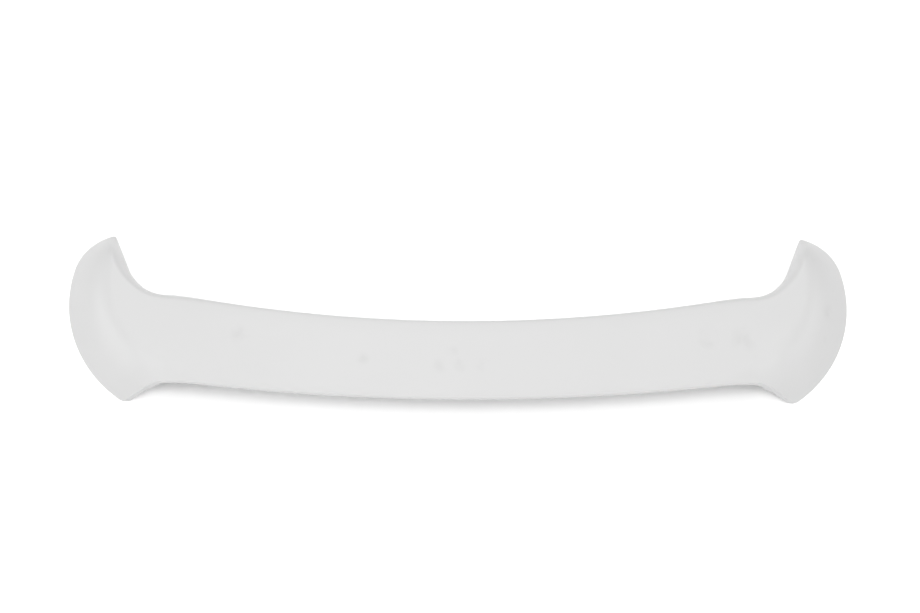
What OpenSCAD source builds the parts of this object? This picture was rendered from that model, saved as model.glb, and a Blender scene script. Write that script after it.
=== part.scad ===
// Boot-lid spoiler: one blow-moulded shell made of a bowed blade on two domed feet.
// Millimetres. X runs across the car, +Y to the front of the car, +Z up.
// The origin is the middle of the footprint, on the plane that the feet rest on.

/* [Overall] */
// Width over the outer edges of the two feet
overall_w = 1240; // [1120:10:1360]
// Height of the blade and of the crown of the feet above the boot lid
body_h = 60; // [50:1:75]

/* [Blade] */
// Distance of the leading edge behind the widest line of the feet, at the middle
lead_back = 72; // [60:1:85]
// Distance of the trailing edge behind the widest line of the feet, at the middle
trail_back = 210; // [200:1:225]
// Radius of the bow of the leading edge, seen from above
lead_r = 2180; // [1900:20:3000]
// Radius of the bow of the trailing edge, seen from above
trail_r = 3260; // [2500:20:4000]
// Greatest thickness of the blade
blade_t = 20; // [14:0.5:26]
// Thickness of the lip at the trailing edge
lip_t = 5; // [3:0.5:8]
// Width of the rounding along the leading edge
nose_w = 9; // [6:0.5:14]
// Drop of the top surface at the leading edge
front_drop = 4; // [1:0.5:8]
// Drop of the top surface ahead of the lip
rear_drop = 9; // [4:0.5:14]
// Upturn of the lip at the trailing edge
lip_rise = 9; // [3:0.5:14]

/* [Feet] */
// Radius of the outer edge of a foot, seen from above
side_r = 232; // [220:1:250]
// Radius of the outer edge where it turns in to the front tip
front_r = 83; // [76:1:95]
// Angle of the outer edge where the front radius takes over
front_angle = 12; // [8:0.5:15]
// Width of the domed slope inside the outer edge
slope_w = 75; // [50:1:75]
// Height of the upright rim at the outer edge
rim_h = 2; // [1:0.5:4]
// Distance in from the outer edge at which the leading edge starts to turn forward
lead_root = 172; // [165:1:185]
// Radius of the turn from the leading edge to the inner flank of the front tip
horn_r = 110; // [95:1:120]
// Direction of the inner flank of the front tip, from the line across the car
flank_angle = 68; // [63:0.5:72]
// Width of the rounded inner flank of the front tip
flank_w = 19; // [12:1:28]
// Distance in from the outer edge at which the trailing edge starts to turn back
trail_root = 164; // [155:1:175]
// Radius of the turn from the trailing edge to the rear of a foot
heel_r = 50; // [35:1:70]
// Direction of the rear of a foot, from the line across the car
heel_angle = 15; // [11:0.5:19]
// Height of the blunt edge at the rear of a foot
heel_t = 12; // [6:0.5:16]
// Width of the undercut below the blunt edge
undercut_w = 22; // [12:1:30]
// Length of the curve that rounds the corner of the front tip, on each side of it
tip_round = 7; // [3:0.5:10]
// Length of the curve that rounds the corner of the rear tip, on each side of it
rear_round = 10; // [4:0.5:14]

/* [Inserts] */
// Width across the flats of a hexagonal threaded insert
insert_flats = 10; // [8:0.5:14]
// Length of a threaded insert
insert_len = 16; // [12:0.5:20]
// Bore of a threaded insert, to the crests of its M6 thread
bore_d = 5; // [4:0.1:6]
// Gap between an insert and the walls of its pocket
insert_gap = 0.05; // [0.02:0.01:0.2]
// Free depth of a pocket above its insert, for the end of the stud
stud_room = 4; // [2:0.5:8]
// Height of the round waist that keys an insert in the moulding
waist_h = 5; // [2:0.5:8]
// Depth of the waist below an insert's flats
waist_depth = 0.8; // [0.4:0.1:1.2]
// Distance of the front inserts in from the outer edge
front_insert_in = 50; // [45:1:55]
// Distance of the front inserts ahead of the widest line
front_insert_y = 30; // [20:1:40]
// Distance of the rear inserts in from the outer edge
rear_insert_in = 75; // [65:1:95]
// Distance of the rear inserts behind the widest line
rear_insert_y = 100; // [80:1:120]

/* [Colours] */
// Colour of the moulded shell
shell_colour = "#e6e6e5";
// Colour of the threaded inserts
insert_colour = "#b5923f";

/* [Hidden] */
half_w = overall_w / 2;
// Sections from the middle to the root, from the root to the tips, and round the outer edge
blade_n = 16;
root_n = 32;
outer_n = 24;
// Points across the top and across the underside of a section
top_n = 20;
under_n = 12;
round_n = 64;
// Length of the flat that closes the outer edge at the widest line
end_flat = 3;
// Section numbers between which the underside comes down to the base of a foot
base_from = 0.9;
base_to = 1.3;
// Share of the chord, from the front, at which the top is highest
crest_at = 0.3;
// Share of the chord at which the lip starts to turn up
lip_from = 0.7;

function clamp01(t) = max(0, min(1, t));
// Eases from 0 to 1 with no kink at either end
function ease(t) = let (s = clamp01(t)) s * s * (3 - 2 * s);
// Quarter round: rises upright from 0 and levels out at 1
function quarter(t) = sqrt(1 - pow(1 - clamp01(t), 2));
function mix(a, b, t) = a + (b - a) * t;
// The direction at an angle from +X
function way(a) = [cos(a), sin(a)];
function arc_len(r, a) = r * abs(a) * PI / 180;
// Length of a straight run from a point inside a circle to the circle
function run_out(p, a, c, r) = let (q = p - c, b = q * way(a)) sqrt(b * b - q * q + r * r) - b;
// The point at a length along an arc, and along the straight run that goes on from the arc's end
function bend(s, c, r, from, to) =
    let (side = to > from ? 1 : -1, arc = arc_len(r, to - from), a = from + side * min(s, arc) / r * 180 / PI)
    c + r * way(a - 90 * side) + max(0, s - arc) * way(to);
// The point at a length along the outer edge, from the widest line to the front or rear tip
function outer_edge(len, c, r, turn, side) =
    let (first = arc_len(side_r, turn), p = len < first
         ? side_c + side_r * way(len / side_r * 180 / PI)
         : c + r * way(turn + (len - first) / r * 180 / PI))
    [p.x, side * p.y];
// A parabola that touches the lines from its middle point to its ends
function parabola(a, b, c, t) = pow(1 - t, 2) * a + 2 * t * (1 - t) * b + t * t * c;

// Centres, corners and lengths of the arcs and straight runs that draw the plan of the right half.
// The widest line is at y = 0.
side_c = [half_w - side_r, 0];
front_c = side_c + (side_r - front_r) * way(front_angle);
lead_c = [0, lead_r - lead_back];
trail_c = [0, trail_r - trail_back];
lead_a = asin((half_w - lead_root) / lead_r);
trail_a = asin((half_w - trail_root) / trail_r);
horn_c = lead_c + (lead_r - horn_r) * way(lead_a - 90);
horn_arc = arc_len(horn_r, flank_angle - lead_a);
flank_start = bend(horn_arc, horn_c, horn_r, lead_a, flank_angle);
flank_run = run_out(flank_start, flank_angle, front_c, front_r);
front_tip = flank_start + flank_run * way(flank_angle);
heel_c = trail_c + (trail_r + heel_r) * way(trail_a - 90);
heel_arc = arc_len(heel_r, trail_a + heel_angle);
heel_start = bend(heel_arc, heel_c, heel_r, trail_a, -heel_angle);
heel_run = run_out(heel_start, -heel_angle, side_c, side_r);
rear_tip = heel_start + heel_run * way(-heel_angle);
tip_angle = atan2(front_tip.y - front_c.y, front_tip.x - front_c.x);
rear_angle = atan2(side_c.y - rear_tip.y, rear_tip.x - side_c.x);
horn_len = horn_arc + flank_run;
heel_len = heel_arc + heel_run;
front_len = arc_len(side_r, front_angle) + arc_len(front_r, tip_angle - front_angle);
rear_len = arc_len(side_r, rear_angle);

// The front edge and the rear edge in plan, for a section number from 0 at the middle of the
// blade to 1 at its root, 2 at the tips of the foot and 3 at the widest line
function front_sharp(u) =
    u <= 1 ? lead_c + lead_r * way(lead_a * u - 90)
    : u <= 2 ? bend(horn_len * (u - 1), horn_c, horn_r, lead_a, flank_angle)
    : outer_edge(mix(front_len, end_flat / 2, u - 2), front_c, front_r, front_angle, 1);
function rear_sharp(u) =
    u <= 1 ? trail_c + trail_r * way(trail_a * u - 90)
    : u <= 2 ? bend(heel_len * (u - 1), heel_c, heel_r, trail_a, -heel_angle)
    : outer_edge(mix(rear_len, end_flat / 2, u - 2), side_c, side_r, rear_angle, -1);
// The section numbers between which each tip is rounded
front_from = 2 - tip_round / horn_len;
front_to = 2 + tip_round / front_len;
rear_from = 2 - rear_round / heel_len;
rear_to = 2 + rear_round / rear_len;
function front_edge(u) =
    u <= front_from || u >= front_to ? front_sharp(u)
    : parabola(front_sharp(front_from), front_tip, front_sharp(front_to),
               (u - front_from) / (front_to - front_from));
function rear_edge(u) =
    u <= rear_from || u >= rear_to ? rear_sharp(u)
    : parabola(rear_sharp(rear_from), rear_tip, rear_sharp(rear_to),
               (u - rear_from) / (rear_to - rear_from));
// Middle of the footprint, from the front of the tips to the middle of the trailing edge
front_reach = max([for (i = [0:10]) front_edge(mix(front_from, front_to, i / 10)).y]);
mid_y = (front_reach - trail_back) / 2;

// Distance of a plan point in from the outer edge, which runs on straight past both tips
function from_outer(p) =
    let (q = p - side_c, a = atan2(q.y, q.x))
    a < -rear_angle ? side_r - q * way(-rear_angle)
    : a < front_angle ? side_r - norm(q)
    : p.x < front_c.x ? front_r - (p.y - front_c.y)
    : front_r - norm(p - front_c);
// Distance of a plan point in from the leading edge and the inner flank of the front tip
function from_inner(p) =
    let (q = p - horn_c)
    q * way(flank_angle) > 0 ? q * way(flank_angle - 90) - horn_r
    : q * way(lead_a) > 0 ? norm(q) - horn_r
    : norm(p - lead_c) - lead_r;

// Rise of the domed slope, as a share of its full height
function dome(p) = sin(90 * clamp01(from_outer(p) / slope_w));
// Share by which the underside has come down to the base
function grounded(u) = ease((u - base_from) / (base_to - base_from));
// Height of the middle of the leading edge, which comes down along the front tip
function nose_z(u) = (body_h - front_drop - blade_t / 2) * (1 - grounded(u));
// Shape of the top from front to rear: crest, fall and upturned lip, fading out on the feet
function camber(u, v) =
    (lip_rise * pow(max(0, (v - lip_from) / (1 - lip_from)), 2)
     - front_drop * pow(max(0, 1 - v / crest_at), 2)
     - rear_drop * ease((v - crest_at) / (1 - crest_at))) * (1 - ease((u - 0.8) / 0.9));
function full_top(u, v, p) = (body_h + camber(u, v) - rim_h) * dome(p);
function rounding(u) = mix(nose_w, flank_w, ease((u - 0.75) / 0.6));
function top_z(u, v, p) =
    let (low = nose_z(u) * min(1, 1.2 * dome(p)))
    rim_h + low + (full_top(u, v, p) - low) * quarter(from_inner(p) / rounding(u));
// Thickness of the blade, fullest near the front and thin at the lip
function thick(u, v) =
    mix(mix(blade_t, lip_t, ease((v - crest_at) / (1 - crest_at))), heel_t, v * ease((u - 0.9) / 0.3));
function under_z(u, v, p, reach) =
    let (g = grounded(u), low = nose_z(u),
         full = rim_h + full_top(u, v, p) - thick(u, v),
         blade = low + (full - low) * quarter(from_inner(p) / nose_w),
         end = max(0, rim_h + full_top(u, 1, rear_edge(u)) - thick(u, 1)),
         heel = u >= 2 ? 0 : end * pow(1 - clamp01(reach / undercut_w), 2))
    mix(max(0, blade), heel, g);

// Shares of the chord at which the top and the underside have their points, closer at both edges
function top_v(i) = let (t = i / (top_n - 1)) 0.5 * t * t + 0.5 * (1 - cos(180 * t)) / 2 + 0.25 * (t - t * t);
function under_v(i) = let (t = i / (under_n - 1)) (1 - cos(180 * t)) / 2;

function section(u, side) =
    let (f = front_edge(u), r = rear_edge(u), chord = norm(r - f))
    concat(
        [for (i = [0:top_n - 1]) let (v = top_v(i), p = mix(f, r, v)) [side * p.x, p.y, top_z(u, v, p)]],
        [for (i = [under_n - 1:-1:0]) let (v = under_v(i), p = mix(f, r, v))
            [side * p.x, p.y, under_z(u, v, p, chord * (1 - v))]]);

half_steps = concat([for (i = [1:blade_n]) i / blade_n],
                    [for (i = [1:root_n]) 1 + i / root_n],
                    [for (i = [1:outer_n]) 2 + i / outer_n]);
steps = concat([for (i = [len(half_steps) - 1:-1:0]) -half_steps[i]], [0], half_steps);
loop_n = top_n + under_n;

module moulding() {
    rings = [for (s = steps) section(abs(s), s < 0 ? -1 : 1)];
    last = len(rings) - 1;
    ends = (last + 1) * loop_n;
    points = concat([for (ring = rings) each ring],
                    [for (side = [-1, 1]) [side * half_w, 0, rim_h / 2]]);
    walls = [for (k = [0:last - 1], i = [0:loop_n - 1])
             let (j = (i + 1) % loop_n, a = k * loop_n, b = a + loop_n)
             each [[a + i, b + i, b + j], [a + i, b + j, a + j]]];
    caps = [for (i = [0:loop_n - 1]) let (j = (i + 1) % loop_n, b = last * loop_n)
            each [[i, j, ends], [b + j, b + i, ends + 1]]];
    translate([0, -mid_y, 0]) polyhedron(points, concat(walls, caps));
}

// Puts its children at an insert's place: front is 1 or -1 for the rear, side is 1 for the right
module at_insert(front, side) {
    x = half_w - (front > 0 ? front_insert_in : rear_insert_in);
    y = front > 0 ? front_insert_y : -rear_insert_y;
    translate([side * x, y - mid_y, 0]) children();
}

module hexagon(flats, h) { cylinder(d = flats / cos(30), h = h, $fn = 6); }

module pocket() {
    translate([0, 0, -1]) hexagon(insert_flats + 2 * insert_gap, insert_len + stud_room + 1);
}

module spoiler_body() {
    color(shell_colour) difference() {
        moulding();
        for (front = [-1, 1], side = [-1, 1]) at_insert(front, side) pocket();
    }
}

// Hexagonal brass insert with an M6 bore, and a round waist that keys it in the moulding
module insert() {
    waist_r = insert_flats / 2 - waist_depth;
    color(insert_colour) difference() {
        hexagon(insert_flats, insert_len);
        translate([0, 0, -1]) cylinder(d = bore_d, h = insert_len + 2, $fn = round_n);
        translate([0, 0, (insert_len - waist_h) / 2]) rotate_extrude($fn = round_n)
            translate([waist_r, 0]) square([insert_flats, waist_h]);
    }
}

module insert_front_left() { at_insert(1, -1) insert(); }
module insert_front_right() { at_insert(1, 1) insert(); }
module insert_rear_left() { at_insert(-1, -1) insert(); }
module insert_rear_right() { at_insert(-1, 1) insert(); }

spoiler_body();
insert_front_left();
insert_front_right();
insert_rear_left();
insert_rear_right();
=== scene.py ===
"""A boot-lid spoiler in satin pale grey ABS, lying on a white studio floor.

The moulded shell is one closed surface, worked out from arcs in plan and rounded slopes in height.
The part's lengths are in millimetres and the studio's in metres. Meshes are in metres, in the frame
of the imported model.
"""
import logging
import math
from collections.abc import Callable
from dataclasses import dataclass, field
from enum import Enum
from functools import cached_property

import bpy
import numpy as np
from mathutils import Matrix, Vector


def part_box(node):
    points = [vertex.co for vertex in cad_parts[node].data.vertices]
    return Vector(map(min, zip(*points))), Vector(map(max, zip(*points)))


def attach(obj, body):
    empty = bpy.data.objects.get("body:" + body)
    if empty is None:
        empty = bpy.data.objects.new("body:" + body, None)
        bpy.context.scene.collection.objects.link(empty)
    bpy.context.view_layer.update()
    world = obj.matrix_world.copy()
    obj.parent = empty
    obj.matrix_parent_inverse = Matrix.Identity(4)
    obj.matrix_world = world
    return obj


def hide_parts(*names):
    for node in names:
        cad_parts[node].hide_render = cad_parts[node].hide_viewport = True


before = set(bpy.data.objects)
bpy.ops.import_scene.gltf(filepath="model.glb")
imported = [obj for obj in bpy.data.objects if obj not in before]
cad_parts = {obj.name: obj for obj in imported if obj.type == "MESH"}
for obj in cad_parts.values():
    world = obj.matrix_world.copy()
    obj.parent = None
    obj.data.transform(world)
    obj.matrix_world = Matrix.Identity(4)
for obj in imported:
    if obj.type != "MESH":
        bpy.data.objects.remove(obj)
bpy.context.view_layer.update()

MM = 0.001
LOG = logging.getLogger("spoiler")

Array = np.ndarray
Pair = tuple[float, float]
Triple = tuple[float, float, float]
Quad = tuple[float, float, float, float]


def linear(colour: str) -> Quad:
    """Turn an sRGB hex colour into linear light, by the curve of the sRGB standard.

    Args:
        colour: the colour as "#rrggbb".

    Returns:
        Linear red, green and blue, and an alpha of 1.
    """
    parts = [int(colour[i:i + 2], 16) / 255 for i in (1, 3, 5)]
    light = [p / 12.92 if p <= 0.04045 else ((p + 0.055) / 1.055) ** 2.4 for p in parts]
    return (light[0], light[1], light[2], 1.0)


def ease(t: Array | float) -> Array:
    """Ease from 0 to 1 with no kink at either end: 3t^2 - 2t^3, held at 0 and 1 outside."""
    s = np.clip(t, 0.0, 1.0)
    return s * s * (3 - 2 * s)


def ease_over(t: Array, span: Pair) -> Array:
    """Ease from 0 to 1 as t goes from one end of a span to the other."""
    return ease((t - span[0]) / (span[1] - span[0]))


def quarter(t: Array | float) -> Array:
    """Rise upright from 0 and level out at 1, as a quarter of a circle: sqrt(1 - (1 - t)^2)."""
    return np.sqrt(np.maximum(0.0, 1 - (1 - np.clip(t, 0.0, 1.0)) ** 2))


def mix(a: Array | float, b: Array | float, t: Array | float) -> Array:
    """Go from a to b in a straight line as t goes from 0 to 1."""
    return a + (b - a) * t


def around(centre: Array, radius: Array | float, turn: Array) -> Array:
    """Points on a circle: its middle, plus the radius times cosine and sine of each angle.

    Args:
        centre: the circle's middle, in plan.
        radius: its radius, one number or one for each point.
        turn: each point's angle from +X, in degrees.

    Returns:
        One row of x and y for each angle.
    """
    a = np.radians(turn)
    return centre + np.stack([radius * np.cos(a), radius * np.sin(a)], axis=-1)


def way(turn: float) -> Array:
    """The direction at an angle from +X, in degrees."""
    return np.array([math.cos(math.radians(turn)), math.sin(math.radians(turn))])


def turn_of(step: Array) -> float:
    """The angle of a direction from +X, in degrees."""
    return math.degrees(math.atan2(step[1], step[0]))


def ring_quads(rings: int, around_n: int) -> Array:
    """Faces between closed rings: points i and i + 1 of a ring and the same two of the next one.

    Args:
        rings: the number of rings.
        around_n: the number of points in each ring.

    Returns:
        One row of four vertex numbers for each face.
    """
    ring, i = np.meshgrid(np.arange(rings - 1), np.arange(around_n), indexing="ij")
    j = (i + 1) % around_n
    a, b = ring * around_n, (ring + 1) * around_n
    return np.stack([a + i, b + i, b + j, a + j], axis=-1).reshape(-1, 4)


def fan(first: Array, second: Array, tip: int) -> list[list[int]]:
    """Triangles from the sides of a ring, given by the two ends of each, to one point."""
    return np.column_stack([first, second, np.full_like(first, tip)]).tolist()


def new_object(name: str, data: bpy.types.ID) -> bpy.types.Object:
    """Put an object into the scene, at the origin.

    Args:
        name: the object's name.
        data: its mesh, light or camera.

    Returns:
        The object.
    """
    item = bpy.data.objects.new(name, data)
    bpy.context.scene.collection.objects.link(item)
    return item


def mesh_object(name: str, points: Array, quads: Array,
                extra: list[list[int]] | None = None) -> bpy.types.Object:
    """Put points and faces into a new mesh object at the origin.

    Args:
        name: the piece's name.
        points: one row of x, y and z for each vertex, in millimetres.
        quads: one row of four vertex numbers for each face.
        extra: faces with another number of corners.

    Returns:
        The object, in the scene.
    """
    mesh = bpy.data.meshes.new(name)
    mesh.from_pydata((points * MM).tolist(), [], quads.tolist() + (extra or []))
    mesh.update()
    return new_object(name, mesh)


def smooth(piece: bpy.types.Object, sharp: float) -> None:
    """Shade a piece smooth, apart from edges that turn by more than an angle in degrees."""
    piece.data.shade_smooth()
    piece.data.set_sharp_from_angle(angle=math.radians(sharp))


def facing(right: Array, up: Array, back: Array, place: Array | Triple) -> Matrix:
    """The matrix of an object at a place, with its own X, Y and Z along right, up and back.

    Args:
        right: the direction of its X axis.
        up: the direction of its Y axis.
        back: the direction of its Z axis, away from what a camera or light faces.
        place: where it is, in metres.

    Returns:
        The matrix, for matrix_world.
    """
    matrix = np.eye(4)
    matrix[:3] = np.column_stack([right, up, back, place])
    return Matrix(matrix.tolist())


class Pattern(Enum):
    """The node that a surface pattern comes from."""

    NOISE = "ShaderNodeTexNoise"
    WAVE = "ShaderNodeTexWave"


def add_node(tree: bpy.types.NodeTree, kind: str,
             links: dict[str | int, bpy.types.NodeSocket] | None = None,
             values: dict[str | int, object] | None = None, **settings: object) -> bpy.types.Node:
    """Add a node with its settings and links.

    Args:
        tree: the node tree.
        kind: the node's type.
        links: input socket name or number to the output socket that feeds it.
        values: input socket name or number to its value.
        settings: the node's own settings.

    Returns:
        The new node.
    """
    node = tree.nodes.new(kind)
    for name, value in settings.items():
        setattr(node, name, value)
    for name, value in (values or {}).items():
        node.inputs[name].default_value = value
    for name, socket in (links or {}).items():
        tree.links.new(socket, node.inputs[name])
    return node


@dataclass(frozen=True)
class Noise:
    """Soft noise in space: the size of its largest cells, and how many finer ones ride on them."""

    size_mm: float
    detail: float
    roughness: float = 0.5


class Coat:
    """A new material with its node tree and its one shader."""

    def __init__(self, name: str, values: dict[str, object]) -> None:
        """Make the material.

        Args:
            name: the material's name.
            values: shader input name to its value.
        """
        self.material: bpy.types.Material = bpy.data.materials.new(name)
        self.material.use_nodes = True
        self.tree: bpy.types.NodeTree = self.material.node_tree
        self.shader: bpy.types.Node = self.tree.nodes["Principled BSDF"]
        for key, value in values.items():
            self.shader.inputs[key].default_value = value

    @cached_property
    def place(self) -> bpy.types.NodeSocket:
        """The Object coordinates, from a node that is added when they are first asked for."""
        return self.add("ShaderNodeTexCoord").outputs["Object"]

    def add(self, kind: str, links: dict[str | int, bpy.types.NodeSocket] | None = None,
            values: dict[str | int, object] | None = None, **settings: object) -> bpy.types.Node:
        """Add a node to the material, as add_node does."""
        return add_node(self.tree, kind, links, values, **settings)

    def noise(self, noise: Noise) -> bpy.types.NodeSocket:
        """Add a noise on the Object coordinates.

        Args:
            noise: its sizes.

        Returns:
            The socket with its value, 0 to 1.
        """
        node = self.add(Pattern.NOISE.value, {"Vector": self.place},
                        {"Scale": 1 / (noise.size_mm * MM), "Detail": noise.detail,
                         "Roughness": noise.roughness})
        return node.outputs["Fac"]

    def remap(self, value: bpy.types.NodeSocket, source: Pair, target: Pair,
              **settings: object) -> bpy.types.NodeSocket:
        """Carry a value from one range to another, held at both ends.

        Args:
            value: the socket with the value.
            source: the two ends of its range.
            target: what they become.
            settings: the node's own settings.

        Returns:
            The socket with the new value.
        """
        node = self.add("ShaderNodeMapRange", {"Value": value},
                        {"From Min": source[0], "From Max": source[1],
                         "To Min": target[0], "To Max": target[1]}, **settings)
        return node.outputs["Result"]

    def maths(self, operation: str, a: bpy.types.NodeSocket,
              b: bpy.types.NodeSocket) -> bpy.types.NodeSocket:
        """Join two values by an operation of the maths node."""
        return self.add("ShaderNodeMath", {0: a, 1: b}, operation=operation).outputs["Value"]

    def tint(self, share: bpy.types.NodeSocket, first: str, second: str) -> None:
        """Colour the shader between two colours.

        Args:
            share: the socket with the second colour's share, 0 to 1.
            first: the first colour, as sRGB hex.
            second: the second colour, as sRGB hex.
        """
        # Inputs 6 and 7 are the mix node's two colours, and output 2 is the mixed one
        tone = self.add("ShaderNodeMix", {0: share}, {6: linear(first), 7: linear(second)},
                        data_type="RGBA")
        self.tree.links.new(tone.outputs[2], self.shader.inputs["Base Color"])

    def bump(self, height: bpy.types.NodeSocket, strength: float, depth_mm: float) -> None:
        """Raise the surface by a pattern.

        Args:
            height: the socket with the pattern, 0 to 1.
            strength: how much of the bump is seen, 0 to 1.
            depth_mm: the height from 0 to 1, in millimetres.
        """
        node = self.add("ShaderNodeBump", {"Height": height},
                        {"Strength": strength, "Distance": depth_mm * MM})
        self.tree.links.new(node.outputs["Normal"], self.shader.inputs["Normal"])


@dataclass(frozen=True)
class SatinAbs:
    """Blow-moulded ABS, sanded and primed pale grey, as such spoilers are sold for painting.

    The eye sees an even satin sheen, a faint orange peel, a soft cloudy drift of tone, and a few
    spots of painted shade a little darker.
    """

    name: str = "satin_abs_primed"
    colour: str = "#bebebe"
    # The darker tone: painted shade in the spots, and random mottle where the cloud drifts
    shade_and_mottle: str = "#b8b8b8"
    roughness: float = 0.42
    ior: float = 1.5
    peel: Noise = Noise(3.0, 2.0)
    peel_depth_mm: float = 0.012
    cloud: Noise = Noise(160.0, 3.0)
    cloud_range: Pair = (0.3, 0.7)
    cloud_share: float = 0.22
    patch: Noise = Noise(24.0, 2.0)
    patch_range: Pair = (0.3, 0.6)
    # Middle and reach in millimetres of the spots of painted shade on the blade and the right foot
    spots: tuple[Quad, ...] = (
        (-341.0, -53.0, 60.0, 24.0), (-149.0, -93.0, 56.0, 16.0), (-14.0, -80.0, 57.0, 18.0),
        (-30.0, -102.0, 55.0, 20.0), (0.0, -103.0, 55.0, 20.0), (30.0, -102.0, 55.0, 20.0),
        (385.0, -57.0, 60.0, 28.0), (440.0, -58.0, 60.0, 34.0), (585.0, 0.0, 41.0, 26.0),
        (582.0, -45.0, 41.0, 24.0),
    )

    def shade_share(self, coat: Coat) -> bpy.types.NodeSocket:
        """Work out the share of painted shade: full in the middle of a spot, and none from its
        reach on.

        Args:
            coat: the material.

        Returns:
            The socket with the share, the largest of all the spots.
        """
        total = None
        for x, y, z, reach in self.spots:
            far = coat.add("ShaderNodeVectorMath", {0: coat.place},
                           {1: (x * MM, y * MM, z * MM)}, operation="DISTANCE")
            near = coat.remap(far.outputs["Value"], (0.0, reach * MM), (1.0, 0.0),
                              interpolation_type="SMOOTHSTEP")
            total = near if total is None else coat.maths("MAXIMUM", total, near)
        return total

    def build(self) -> bpy.types.Material:
        """Make the material.

        Returns:
            The material, on Object coordinates.
        """
        coat = Coat(self.name, {"Roughness": self.roughness, "IOR": self.ior})
        patchy = coat.remap(coat.noise(self.patch), self.patch_range, (0.0, 1.0))
        # Painted shade: the darker spots, broken up by the patch noise
        shaded = coat.maths("MULTIPLY", self.shade_share(coat), patchy)
        drift = coat.remap(coat.noise(self.cloud), self.cloud_range, (0.0, self.cloud_share))
        coat.tint(coat.maths("MAXIMUM", shaded, drift), self.colour, self.shade_and_mottle)
        coat.bump(coat.noise(self.peel), 1.0, self.peel_depth_mm)
        return coat.material


@dataclass(frozen=True)
class TurnedBrass:
    """Brass turned on a lathe: a warm metal, dulled in places, with fine rings along its axis."""

    name: str = "turned_brass"
    colour: str = "#c9a558"
    dulled: str = "#a98644"
    roughness: Pair = (0.2, 0.4)
    tarnish: Noise = Noise(2.5, 3.0, 0.6)
    ring_mm: float = 0.9425
    ring_wander: float = 0.4
    ring_depth_mm: float = 0.01
    ring_strength: float = 0.3

    def build(self) -> bpy.types.Material:
        """Make the material.

        Returns:
            The material, on Object coordinates.
        """
        coat = Coat(self.name, {"Metallic": 1.0})
        tarnish = coat.noise(self.tarnish)
        coat.tint(tarnish, self.colour, self.dulled)
        rough = coat.remap(tarnish, (0.0, 1.0), self.roughness)
        coat.tree.links.new(rough, coat.shader.inputs["Roughness"])
        # At a Scale of 1 the bands of the wave node are 2 pi / 20 apart
        scale = 2 * math.pi / 20 / (self.ring_mm * MM)
        rings = coat.add(Pattern.WAVE.value, {"Vector": coat.place},
                         {"Scale": scale, "Distortion": self.ring_wander},
                         wave_type="BANDS", bands_direction="Z")
        coat.bump(rings.outputs["Fac"], self.ring_strength, self.ring_depth_mm)
        return coat.material


@dataclass(frozen=True)
class WhitePaper:
    """Matt white paper, for the studio floor."""

    name: str = "white_paper"
    colour: str = "#fbfbfb"
    roughness: float = 0.9

    def build(self) -> bpy.types.Material:
        """Make the material.

        Returns:
            The material, with one plain tone.
        """
        return Coat(self.name, {"Base Color": linear(self.colour), "Roughness": self.roughness,
                                "Specular IOR Level": 0.0}).material


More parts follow.
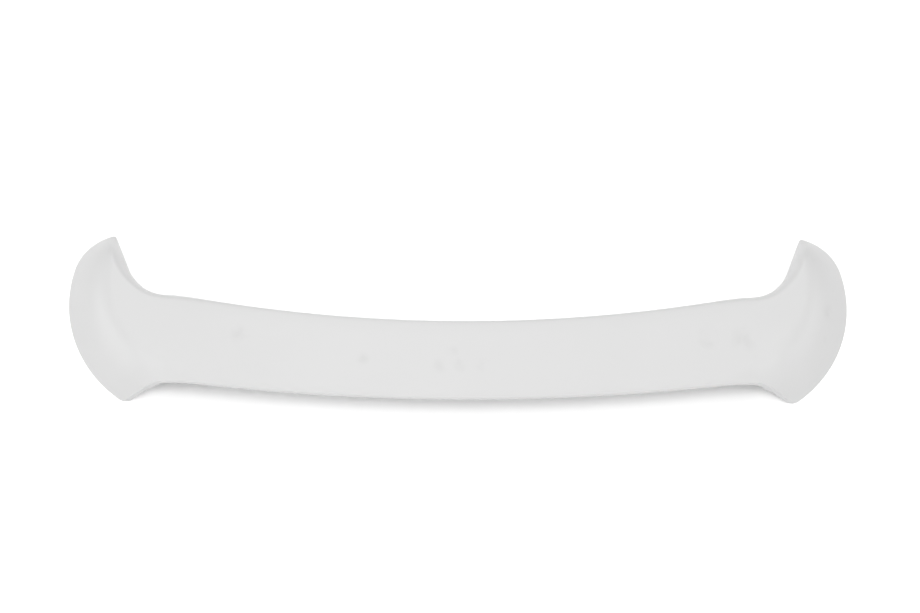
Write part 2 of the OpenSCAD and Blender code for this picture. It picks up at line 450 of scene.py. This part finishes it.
@dataclass
class Shell:
    """The moulded shell: a bowed blade on two domed feet, as one closed surface.

    A section runs from the front edge to the rear edge. Section numbers go from 0 at the middle of
    the blade to 1 at its root, 2 at the tips of a foot and 3 at the widest line. A name that ends
    in _at gives the section numbers between which something takes over.
    """

    half_w: float = 620.0
    body_h: float = 60.0
    lead_back: float = 72.0
    trail_back: float = 210.0
    lead_r: float = 2180.0
    trail_r: float = 3260.0
    blade_t: float = 20.0
    lip_t: float = 5.0
    nose_w: float = 9.0
    # How many times faster than the dome the nose line rises from the outer edge
    nose_lead: float = 1.2
    front_drop: float = 4.0
    rear_drop: float = 9.0
    lip_rise: float = 4.0
    side_r: float = 232.0
    front_r: float = 83.0
    front_angle: float = 12.0
    slope_w: float = 75.0
    rim_h: float = 2.0
    lead_root: float = 172.0
    horn_r: float = 110.0
    flank_angle: float = 68.0
    flank_w: float = 24.0
    flank_at: Pair = (0.75, 1.35)
    trail_root: float = 164.0
    heel_r: float = 50.0
    heel_angle: float = 15.0
    heel_t: float = 12.0
    heel_at: Pair = (0.9, 1.2)
    undercut_w: float = 22.0
    tip_round: float = 7.0
    rear_round: float = 10.0
    end_flat: float = 3.0
    base_at: Pair = (0.9, 1.3)
    level_at: Pair = (0.8, 1.7)
    # Shares of the chord, from the front
    crest_from: float = 0.3
    lip_from: float = 0.7
    blade_n: int = 90
    root_n: int = 130
    outer_n: int = 100
    top_n: int = 76
    under_n: int = 36
    sharp_angle: float = 35.0
    pocket_flats: float = 10.1
    pocket_h: float = 20.0
    cutter_below: float = 5.0
    sockets: list[Array] = field(default_factory=list)

    def __post_init__(self) -> None:
        """Work out the centres, corners and lengths of the arcs and straight runs of the plan."""
        self.side_c: Array = np.array([self.half_w - self.side_r, 0.0])
        self.front_c: Array = self.side_c + (self.side_r - self.front_r) * way(self.front_angle)
        self.lead_c: Array = np.array([0.0, self.lead_r - self.lead_back])
        self.trail_c: Array = np.array([0.0, self.trail_r - self.trail_back])
        self.lead_a: float = math.degrees(math.asin((self.half_w - self.lead_root) / self.lead_r))
        self.trail_a: float = math.degrees(
            math.asin((self.half_w - self.trail_root) / self.trail_r))
        self.horn_c: Array = self.lead_c + (self.lead_r - self.horn_r) * way(self.lead_a - 90)
        self.heel_c: Array = self.trail_c + (self.trail_r + self.heel_r) * way(self.trail_a - 90)
        front_tip, horn_len = self.corner(
            self.horn_c, self.horn_r, self.lead_a, self.flank_angle, self.front_c, self.front_r)
        rear_tip, heel_len = self.corner(
            self.heel_c, self.heel_r, self.trail_a, -self.heel_angle, self.side_c, self.side_r)
        self.horn_len: float = horn_len
        self.heel_len: float = heel_len
        beyond = turn_of(front_tip - self.front_c) - self.front_angle
        self.front_len: float = math.radians(
            self.side_r * self.front_angle + self.front_r * beyond)
        self.rear_angle: float = -turn_of(rear_tip - self.side_c)
        self.rear_len: float = math.radians(self.side_r * self.rear_angle)
        # The foremost point lies near the front tip, which is section 2
        reach = self.front_edge(np.linspace(1.9, 2.1, 201))[:, 1].max()
        self.mid_y: float = (reach - self.trail_back) / 2

    def corner(self, centre: Array, radius: float, first: float, turn: float,
               rim_c: Array, rim_r: float) -> tuple[Array, float]:
        """Follow an arc and the straight run after it out to the outer edge.

        The run ends where its distance from the middle of the outer edge's arc is that arc's
        radius, the larger root of a quadratic equation.

        Args:
            centre: the arc's middle.
            radius: the arc's radius.
            first: the direction in which the arc starts, in degrees from +X.
            turn: the direction in which it ends and the straight run goes.
            rim_c: the middle of the outer edge's arc there.
            rim_r: the radius of the outer edge's arc there.

        Returns:
            The corner where the run meets the outer edge, and the length of arc and run.
        """
        arc = math.radians(radius * abs(turn - first))
        start = self.bend(np.array([arc]), centre, radius, first, turn)[0]
        q = start - rim_c
        b = float(q @ way(turn))
        run = math.sqrt(b * b - float(q @ q) + rim_r ** 2) - b
        return start + run * way(turn), arc + run

    def bend(self, length: Array, centre: Array, radius: float, first: float,
             turn: float) -> Array:
        """Walk along an arc, and along the straight run that goes on from its end.

        Args:
            length: the distance walked, one for each point.
            centre: the arc's middle.
            radius: the arc's radius.
            first: the direction in which the arc starts, in degrees from +X.
            turn: the direction in which it ends.

        Returns:
            One row of x and y for each point.
        """
        side = 1 if turn > first else -1
        arc = math.radians(radius * abs(turn - first))
        walked = np.degrees(np.minimum(length, arc) / radius)
        on_arc = around(centre, radius, first + side * walked - 90 * side)
        return on_arc + np.maximum(0, length - arc)[:, None] * way(turn)

    def outer_edge(self, length: Array, centre: Array, radius: float, turn: float,
                   side: int) -> Array:
        """Walk along the outer edge from the widest line to a tip, by length of arc.

        Args:
            length: the distance walked, one for each point.
            centre: the middle of the second arc.
            radius: the radius of the second arc.
            turn: the angle at which the second arc takes over, in degrees.
            side: 1 for the front, -1 for the rear.

        Returns:
            One row of x and y for each point.
        """
        first = math.radians(self.side_r * turn)
        on_side = around(self.side_c, self.side_r, side * np.degrees(length / self.side_r))
        beyond = around(centre, radius, side * (turn + np.degrees((length - first) / radius)))
        return np.where((length < first)[:, None], on_side, beyond)

    def front_sharp(self, u: Array) -> Array:
        """The front edge with a sharp tip: the blade's arc, the inner flank, the outer edge.

        Args:
            u: section numbers.

        Returns:
            One row of x and y for each section.
        """
        blade = around(self.lead_c, self.lead_r, self.lead_a * u - 90)
        horn = self.bend(self.horn_len * np.clip(u - 1, 0, 1), self.horn_c, self.horn_r,
                         self.lead_a, self.flank_angle)
        outer = self.outer_edge(mix(self.front_len, self.end_flat / 2, np.clip(u - 2, 0, 1)),
                                self.front_c, self.front_r, self.front_angle, 1)
        return np.where((u <= 1)[:, None], blade, np.where((u <= 2)[:, None], horn, outer))

    def rear_sharp(self, u: Array) -> Array:
        """The rear edge with a sharp tip: the blade's arc, the heel, the outer edge.

        Args:
            u: section numbers.

        Returns:
            One row of x and y for each section.
        """
        blade = around(self.trail_c, self.trail_r, self.trail_a * u - 90)
        heel = self.bend(self.heel_len * np.clip(u - 1, 0, 1), self.heel_c, self.heel_r,
                         self.trail_a, -self.heel_angle)
        outer = self.outer_edge(mix(self.rear_len, self.end_flat / 2, np.clip(u - 2, 0, 1)),
                                self.side_c, self.side_r, self.rear_angle, -1)
        return np.where((u <= 1)[:, None], blade, np.where((u <= 2)[:, None], heel, outer))

    def rounded(self, edge: Callable[[Array], Array], u: Array, before: float,
                after: float) -> Array:
        """Round the tip that an edge has at 2, by a parabola that touches both of its sides.

        Args:
            edge: the edge with its sharp tip.
            u: section numbers.
            before: how far before 2 the rounding starts.
            after: how far past 2 it ends.

        Returns:
            One row of x and y for each section.
        """
        t = np.clip((u - 2 + before) / (before + after), 0, 1)[:, None]
        a, b, c = edge(np.array([2 - before, 2.0, 2 + after]))
        curve = (1 - t) ** 2 * a + 2 * t * (1 - t) * b + t ** 2 * c
        return np.where((t > 0) & (t < 1), curve, edge(u))

    def front_edge(self, u: Array) -> Array:
        """The front edge with its tip rounded."""
        before, after = self.tip_round / self.horn_len, self.tip_round / self.front_len
        return self.rounded(self.front_sharp, u, before, after)

    def rear_edge(self, u: Array) -> Array:
        """The rear edge with its tip rounded."""
        before, after = self.rear_round / self.heel_len, self.rear_round / self.rear_len
        return self.rounded(self.rear_sharp, u, before, after)

    def from_outer(self, x: Array, y: Array) -> Array:
        """Distance in from the outer edge: a radius less the distance from the arc's middle.

        Past both tips the edge runs on straight.

        Args:
            x: plan position across the car.
            y: plan position along the car.

        Returns:
            The distance of each point, in millimetres.
        """
        qx, qy = x - self.side_c[0], y - self.side_c[1]
        turn = np.degrees(np.arctan2(qy, qx))
        rear = math.radians(self.rear_angle)
        past_rear = self.side_r - (qx * math.cos(rear) - qy * math.sin(rear))
        side = self.side_r - np.hypot(qx, qy)
        past_front = self.front_r - (y - self.front_c[1])
        front = self.front_r - np.hypot(x - self.front_c[0], y - self.front_c[1])
        ahead = np.where(x < self.front_c[0], past_front, front)
        inside = np.where(turn < self.front_angle, side, ahead)
        return np.where(turn < -self.rear_angle, past_rear, inside)

    def from_inner(self, x: Array, y: Array) -> Array:
        """Distance in from the leading edge and from the inner flank of the front tip.

        It is the distance from an arc's middle less the radius, and square to the straight run
        along that run.

        Args:
            x: plan position across the car.
            y: plan position along the car.

        Returns:
            The distance of each point, in millimetres.
        """
        q = np.stack([x - self.horn_c[0], y - self.horn_c[1]], axis=-1)
        lead = np.hypot(x - self.lead_c[0], y - self.lead_c[1]) - self.lead_r
        turn = np.hypot(q[..., 0], q[..., 1]) - self.horn_r
        run = q @ way(self.flank_angle - 90) - self.horn_r
        bent = np.where(q @ way(self.lead_a) > 0, turn, lead)
        return np.where(q @ way(self.flank_angle) > 0, run, bent)

    def dome(self, x: Array, y: Array) -> Array:
        """Rise of the domed slope as a share of its full height: a quarter of a sine wave."""
        return np.sin(np.pi / 2 * np.clip(self.from_outer(x, y) / self.slope_w, 0, 1))

    def grounded(self, u: Array) -> Array:
        """Share by which the underside has come down to the base of the foot."""
        return ease_over(u, self.base_at)

    def nose_z(self, u: Array) -> Array:
        """Height of the middle of the leading edge, which comes down along the front tip."""
        return (self.body_h - self.front_drop - self.blade_t / 2) * (1 - self.grounded(u))

    def full_top(self, u: Array, v: Array, x: Array, y: Array) -> Array:
        """Height of the top over the rim, before its leading edge is rounded.

        From front to rear the camber is a crest, a fall and an upturned lip. It is a parabola
        ahead of the crest, an eased fall behind it and a second parabola at the lip, and it fades
        out on the feet.

        Args:
            u: section numbers.
            v: shares of the chord, from the front.
            x: plan position across the car.
            y: plan position along the car.

        Returns:
            The height of each point.
        """
        lip = self.lip_rise * np.maximum(0, (v - self.lip_from) / (1 - self.lip_from)) ** 2
        front = self.front_drop * np.maximum(0, 1 - v / self.crest_from) ** 2
        fall = self.rear_drop * ease_over(v, (self.crest_from, 1.0))
        fade = 1 - ease_over(u, self.level_at)
        return (self.body_h + (lip - front - fall) * fade - self.rim_h) * self.dome(x, y)

    def top_z(self, u: Array, v: Array, x: Array, y: Array) -> Array:
        """Height of the top: it springs from the nose line and rounds over into the full height.

        Args:
            u: section numbers.
            v: shares of the chord, from the front.
            x: plan position across the car.
            y: plan position along the car.

        Returns:
            The height of each point.
        """
        low = self.nose_z(u) * np.minimum(1, self.nose_lead * self.dome(x, y))
        width = mix(self.nose_w, self.flank_w, ease_over(u, self.flank_at))
        over = quarter(self.from_inner(x, y) / width)
        return self.rim_h + low + (self.full_top(u, v, x, y) - low) * over

    def thick(self, u: Array, v: Array) -> Array:
        """Thickness of the blade, fullest near the front, thin at the lip and blunt at the heel."""
        blade = mix(self.blade_t, self.lip_t, ease_over(v, (self.crest_from, 1.0)))
        return mix(blade, self.heel_t, v * ease_over(u, self.heel_at))

    def under_z(self, u: Array, v: Array, x: Array, y: Array, reach: Array) -> Array:
        """Height of the underside: the blade's, coming down to the flat base with an undercut heel.

        Args:
            u: section numbers.
            v: shares of the chord, from the front.
            x: plan position across the car.
            y: plan position along the car.
            reach: distance in from the rear edge along the section.

        Returns:
            The height of each point.
        """
        low = self.nose_z(u)
        full = self.rim_h + self.full_top(u, v, x, y) - self.thick(u, v)
        blade = low + (full - low) * quarter(self.from_inner(x, y) / self.nose_w)
        rear = self.rear_edge(u[:, 0])
        one = np.ones_like(rear[:, :1])
        end = self.rim_h + self.full_top(u, one, rear[:, :1], rear[:, 1:]) - self.thick(u, one)
        fall = (1 - np.clip(reach / self.undercut_w, 0, 1)) ** 2
        heel = np.where(u >= 2, 0, np.maximum(0, end) * fall)
        return mix(np.maximum(0, blade), heel, self.grounded(u))

    def sections(self) -> Array:
        """Work out every section from the middle of the blade to the widest line.

        In plan the points of a section lie on the straight line from its front edge to its rear
        edge, at (1 + t + t^2 - cos(pi t)) / 4 of its length over the top and (1 - cos(pi t)) / 2
        below, for even steps of t. So they lie closer together towards both edges.

        Returns:
            An array of sections, each a loop of points: over the top, then back under.
        """
        u = np.concatenate([np.linspace(0, 1, self.blade_n + 1)[:-1],
                            np.linspace(1, 2, self.root_n + 1)[:-1],
                            np.linspace(2, 3, self.outer_n + 1)])
        front, rear = self.front_edge(u), self.rear_edge(u)
        chord = np.hypot(*(rear - front).T)[:, None]
        t = np.linspace(0, 1, self.top_n)
        top_v = (1 + t + t * t - np.cos(np.pi * t)) / 4
        under_v = (1 - np.cos(np.pi * np.linspace(1, 0, self.under_n))) / 2
        loops = []
        for v, top in ((top_v[None, :], True), (under_v[None, :], False)):
            x = mix(front[:, :1], rear[:, :1], v)
            y = mix(front[:, 1:], rear[:, 1:], v)
            uu = np.broadcast_to(u[:, None], x.shape)
            if top:
                z = self.top_z(uu, v, x, y)
            else:
                z = self.under_z(uu, v, x, y, chord * (1 - v))
            loops.append(np.stack([x, y - self.mid_y, z], axis=-1))
        return np.concatenate(loops, axis=1)

    def build(self) -> bpy.types.Object:
        """Make the closed shell with its four pockets.

        Returns:
            The shell's object.
        """
        half = self.sections()
        mirrored = half[:0:-1] * np.array([-1.0, 1.0, 1.0])
        rings = np.concatenate([mirrored, half])
        count, around_n = rings.shape[:2]
        last = count * around_n
        ends = np.array([[s * self.half_w, -self.mid_y, self.rim_h / 2] for s in (-1, 1)])
        points = np.concatenate([rings.reshape(-1, 3), ends])
        i = np.arange(around_n)
        j = (i + 1) % around_n
        far = last - around_n
        caps = fan(i, j, last) + fan(far + j, far + i, last + 1)
        piece = mesh_object("shell_moulding", points, ring_quads(count, around_n), caps)
        for number, place in enumerate(self.sockets):
            self.cut_pocket(piece, place, number)
        smooth(piece, self.sharp_angle)
        return piece

    def cut_pocket(self, piece: bpy.types.Object, place: Array, number: int) -> None:
        """Take a blind hexagonal pocket out of the base.

        Args:
            piece: the shell.
            place: the pocket's middle, in plan.
            number: which pocket it is.
        """
        corner_r = self.pocket_flats / 2 / math.cos(math.pi / 6)
        corners = around(place, corner_r, np.arange(0, 360, 60))
        points = np.concatenate([np.column_stack([corners, np.full(6, z)])
                                 for z in (-self.cutter_below, self.pocket_h)])
        lids = [list(range(5, -1, -1)), list(range(6, 12))]
        quads = ring_quads(2, 6)[:, ::-1]
        cutter = mesh_object(f"pocket_cutter_{number}", points, quads, lids)
        cut = piece.modifiers.new("pocket", "BOOLEAN")
        cut.operation, cut.solver, cut.object = "DIFFERENCE", "MANIFOLD", cutter
        graph = bpy.context.evaluated_depsgraph_get()
        whole = bpy.data.meshes.new_from_object(piece.evaluated_get(graph))
        piece.modifiers.remove(cut)
        piece.data = whole
        bpy.data.objects.remove(cutter)


@dataclass
class Insert:
    """A hexagonal brass M6 insert: chamfered corners, a round waist and a true helical thread."""

    node: str
    flats: float = 10.0
    length: float = 16.0
    chamfer_h: float = 0.4
    chamfer_out: float = 0.15
    waist_h: float = 5.0
    waist_depth: float = 0.8
    crest_r: float = 2.5
    root_r: float = 3.0
    pitch: float = 1.0
    mouth_r: float = 3.3
    around_n: int = 48
    steps_per_turn: int = 8
    sharp_angle: float = 30.0

    def centre(self) -> Array:
        """The middle of its CAD node in plan, in millimetres."""
        low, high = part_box(self.node)
        return np.array([(low.x + high.x) / 2, (low.y + high.y) / 2]) / MM

    def outside(self, turn: Array) -> tuple[Array, Array]:
        """Work out the profile of the outside, from the base up.

        A hexagon's radius is half its flats over the cosine of the angle to the nearest flat's
        middle. At both ends a circle just outside the flats cuts the corners, and the waist is a
        smaller circle.

        Args:
            turn: the angles round the axis, in radians.

        Returns:
            One row of radii for each height, and the heights.
        """
        hexagon = self.flats / 2 / np.cos(turn % (np.pi / 3) - np.pi / 6)
        chamfer = np.minimum(hexagon, self.flats / 2 + self.chamfer_out)
        waist = np.full_like(turn, self.flats / 2 - self.waist_depth)
        low, high = (self.length - self.waist_h) / 2, (self.length + self.waist_h) / 2
        height = np.array([0.0, self.chamfer_h, low, low, high, high,
                           self.length - self.chamfer_h, self.length])
        radius = np.stack([chamfer, hexagon, hexagon, waist, waist, hexagon, hexagon, chamfer])
        return radius, height

    def bore(self, turn: Array) -> tuple[Array, Array]:
        """Work out the profile of the threaded bore, from the top down.

        The radius follows a triangle wave of height plus turn, which makes the thread a helix, and
        both mouths flare at 45 degrees.

        Args:
            turn: the angles round the axis, in radians.

        Returns:
            One row of radii for each height, and the heights.
        """
        steps = int(self.length / self.pitch * self.steps_per_turn)
        height = np.linspace(self.length, 0, steps + 1)
        phase = (height[:, None] / self.pitch + turn[None, :] / (2 * np.pi)) % 1.0
        thread = mix(self.crest_r, self.root_r, 1 - np.abs(2 * phase - 1))
        flare = np.maximum(0, self.mouth_r - np.minimum(height, self.length - height))[:, None]
        return np.maximum(thread, flare), height

    def build(self) -> bpy.types.Object:
        """Make the insert where its CAD node is: up the outside, over the top and down the bore.

        Returns:
            The insert's object.
        """
        centre = self.centre()
        turn = np.linspace(0, 2 * np.pi, self.around_n, endpoint=False)
        (out_r, out_z), (bore_r, bore_z) = self.outside(turn), self.bore(turn)
        radius, height = np.concatenate([out_r, bore_r]), np.concatenate([out_z, bore_z])
        x = centre[0] + radius * np.cos(turn)
        y = centre[1] + radius * np.sin(turn)
        z = np.broadcast_to(height[:, None], x.shape)
        points = np.stack([x, y, z], axis=-1).reshape(-1, 3)
        i = np.arange(self.around_n)
        j = (i + 1) % self.around_n
        far = len(points) - self.around_n
        # The lower face closes the loop, from the last ring back to the first
        face = np.stack([i, j, far + j, far + i], axis=-1)
        quads = np.concatenate([ring_quads(len(height), self.around_n), face])[:, ::-1]
        piece = mesh_object(self.node.replace("insert", "threaded_insert"), points, quads)
        smooth(piece, self.sharp_angle)
        return piece


@dataclass(frozen=True)
class SoftBox:
    """A soft box that faces the part, with its lengths in metres and its power in watts."""

    name: str
    place: Triple
    size: Pair
    power: float

    def build(self) -> None:
        """Hang the soft box, with its back straight away from the origin and its width level."""
        data = bpy.data.lights.new(self.name, "AREA")
        data.shape, data.energy = "RECTANGLE", self.power
        data.size, data.size_y = self.size
        back = np.array(self.place) / np.linalg.norm(self.place)
        right = np.cross([0.0, 0.0, 1.0], back)
        right /= np.linalg.norm(right)
        lamp = new_object(self.name, data)
        lamp.matrix_world = facing(right, np.cross(back, right), back, self.place)


@dataclass
class Studio:
    """A white floor, soft boxes above and on all sides, a dim even surround and a camera.

    Lengths are in metres and angles in degrees. The camera's are those of the photo.
    """

    distance: float = 3.2
    focal_px: float = 2008.2
    azimuth: float = 2.16
    elevation: float = 60.0
    roll: float = 2.12
    target: Triple = (0.0012, 0.033, 0.0)
    frame_w_px: float = 920.0
    sensor_mm: float = 36.0
    far_clip: float = 50.0
    floor_reach: float = 6.0
    surround: float = 0.5
    boxes: tuple[SoftBox, ...] = (
        SoftBox("soft_box_over", (0.0, 0.1, 2.8), (3.0, 3.0), 16.0),
        SoftBox("soft_box_near", (0.0, -0.9, 2.6), (2.4, 1.2), 28.0),
        SoftBox("soft_box_far", (0.0, 2.0, 2.4), (2.4, 1.6), 23.0),
        SoftBox("soft_box_low", (0.0, -3.0, 1.5), (3.0, 1.5), 30.0),
        SoftBox("soft_box_left", (-3.0, 0.0, 1.5), (3.0, 1.5), 35.0),
        SoftBox("soft_box_right", (3.0, 0.0, 1.5), (3.0, 1.5), 27.0),
    )

    def camera(self) -> None:
        """Place the camera: it looks along +Y and down, turned a little to one side and rolled."""
        az, el, roll = (math.radians(a) for a in (self.azimuth, self.elevation, self.roll))
        ahead = np.array([math.sin(az) * math.cos(el), math.cos(az) * math.cos(el),
                          -math.sin(el)])
        level = np.array([math.cos(az), -math.sin(az), 0.0])
        up = np.cross(level, ahead)
        right = level * math.cos(roll) + up * math.sin(roll)
        top = up * math.cos(roll) - level * math.sin(roll)
        data = bpy.data.cameras.new("camera")
        data.sensor_width = self.sensor_mm
        data.lens = self.focal_px * self.sensor_mm / self.frame_w_px
        data.clip_end = self.far_clip
        camera = new_object("camera", data)
        place = np.array(self.target) - ahead * self.distance
        camera.matrix_world = facing(right, top, -ahead, place)
        bpy.context.scene.camera = camera

    def floor(self) -> None:
        """Lay the white floor, a square round the origin."""
        square = np.array([[-1, -1, 0], [1, -1, 0], [1, 1, 0], [-1, 1, 0]])
        floor = mesh_object("studio_floor", square * self.floor_reach / MM,
                            np.array([[0, 1, 2, 3]]))
        floor.data.materials.append(WhitePaper().build())

    def sky(self) -> None:
        """Give the scene its even white surround."""
        world = bpy.data.worlds.new("white_surround")
        world.use_nodes = True
        background = world.node_tree.nodes["Background"]
        background.inputs["Color"].default_value = linear("#ffffff")
        background.inputs["Strength"].default_value = self.surround
        bpy.context.scene.world = world

    def build(self) -> None:
        """Set up the floor, the surround, the lights and the camera."""
        self.floor()
        self.sky()
        for box in self.boxes:
            box.build()
        self.camera()
        bpy.context.scene.view_settings.view_transform = "Standard"


def main() -> None:
    logging.basicConfig(level=logging.INFO, format="%(message)s")
    inserts = [Insert(name) for name in sorted(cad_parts) if name.startswith("insert")]
    shell = Shell(sockets=[insert.centre() for insert in inserts]).build()
    # Cutting the pockets leaves an empty slot
    shell.data.materials.clear()
    shell.data.materials.append(SatinAbs().build())
    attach(shell, "root")
    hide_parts("spoiler_body")
    LOG.info("%s: %d faces", shell.name, len(shell.data.polygons))
    brass = TurnedBrass().build()
    for insert in inserts:
        piece = insert.build()
        piece.data.materials.append(brass)
        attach(piece, "root")
        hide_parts(insert.node)
        LOG.info("%s: %d faces", piece.name, len(piece.data.polygons))
    Studio().build()
    bpy.context.view_layer.update()


if __name__ == "__main__":
    main()
